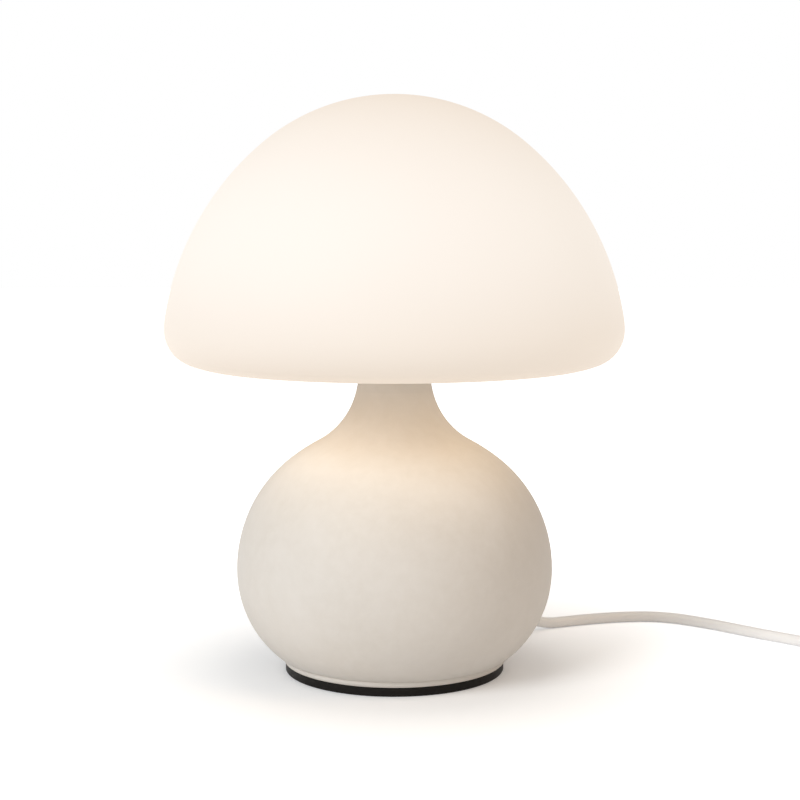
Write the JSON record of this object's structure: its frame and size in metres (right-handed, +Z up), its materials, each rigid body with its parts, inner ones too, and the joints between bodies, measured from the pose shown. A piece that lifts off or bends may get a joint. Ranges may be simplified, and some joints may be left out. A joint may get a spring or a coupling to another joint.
{
  "type": "mushroom table lamp",
  "caption": "Table lamp with a domed opal glass shade that lifts off a round matte ceramic body, a screw-in globe bulb, a corded rocker switch and a flat plug.",
  "frame": {"origin": "centre of the foot ring's underside", "axes": "+Z up along the body and shade axis; -Y is the front; the cord leaves at the back right"},
  "size_m": [0.4836, 0.3201, 0.3027],
  "materials": {
    "matte_ceramic": "matte, very fine sandy grain",
    "opal_glass": "satin opal, lit from inside",
    "black_rubber": "matte moulded",
    "zinc_steel": "zinc plated",
    "cream_paint": "matte powder coat",
    "clear_silicone": "translucent",
    "white_thermoplastic": "satin moulded",
    "holder_ceramic": "glazed steatite",
    "brass": "nickel free, satin",
    "nickel_cap": "nickel plated",
    "black_insulator": "gloss",
    "opal_bulb": "opal, lit",
    "bulb_plastic": "satin",
    "board_aluminium": "white solder mask",
    "cord_pvc": "satin PVC",
    "brown_insulation": "satin PVC",
    "blue_insulation": "satin PVC",
    "switch_plastic": "satin moulded",
    "pin_brass": "nickel plated",
    "pin_insulation": "satin"
  },
  "bodies": {
    "lamp": {"body_shell": "matte_ceramic", "foot_ring": "black_rubber", "base_plate": "zinc_steel", "base_washer": "zinc_steel", "base_nut": "zinc_steel", "lamp_pipe": "zinc_steel", "neck_gasket": "black_rubber", "shade_gallery": "cream_paint", "gallery_washer": "zinc_steel", "gallery_nut": "zinc_steel", "cushion_ring": "clear_silicone", "holder_cap": "white_thermoplastic", "lock_screw": "zinc_steel", "holder_insert": "holder_ceramic", "terminal_screws": "brass", "holder_sleeve": "white_thermoplastic", "screw_shell": "brass", "centre_contact": "brass", "cord_grommet": "cord_pvc", "cord_retainer": "white_thermoplastic", "inner_cord": "cord_pvc", "live_wire": "brown_insulation", "neutral_wire": "blue_insulation", "cord_lead": "cord_pvc", "cord_link": "cord_pvc", "cord_coil": "cord_pvc", "cord_tail": "cord_pvc", "switch_base": "switch_plastic", "switch_cover": "switch_plastic", "switch_screws": "zinc_steel", "switch_contacts": "brass", "plug_body": "switch_plastic", "plug_pins": "pin_brass", "pin_sleeves": "pin_insulation"},
    "shade": {"glass_shade": "opal_glass"},
    "bulb": {"bulb_globe": "opal_bulb", "bulb_housing": "bulb_plastic", "bulb_cap": "nickel_cap", "bulb_insulator": "black_insulator", "bulb_contact": "nickel_cap", "led_board": "board_aluminium"},
    "rocker": {"switch_rocker": "switch_plastic"}
  },
  "joints": [
    {"name": "shade_lift", "type": "slide", "parent": "lamp", "child": "shade", "axis": [0, 0, 1], "range_m": [0, 0.2]},
    {"name": "bulb_out", "type": "slide", "parent": "lamp", "child": "bulb", "axis": [0, 0, 1], "range_m": [0, 0.01976]},
    {"name": "rocker_tilt", "type": "hinge", "parent": "lamp", "child": "rocker", "pos_m": [0.257, -0.071, 0.012], "axis": [1, 0, 0], "range_deg": [0, 14]}
  ]
}
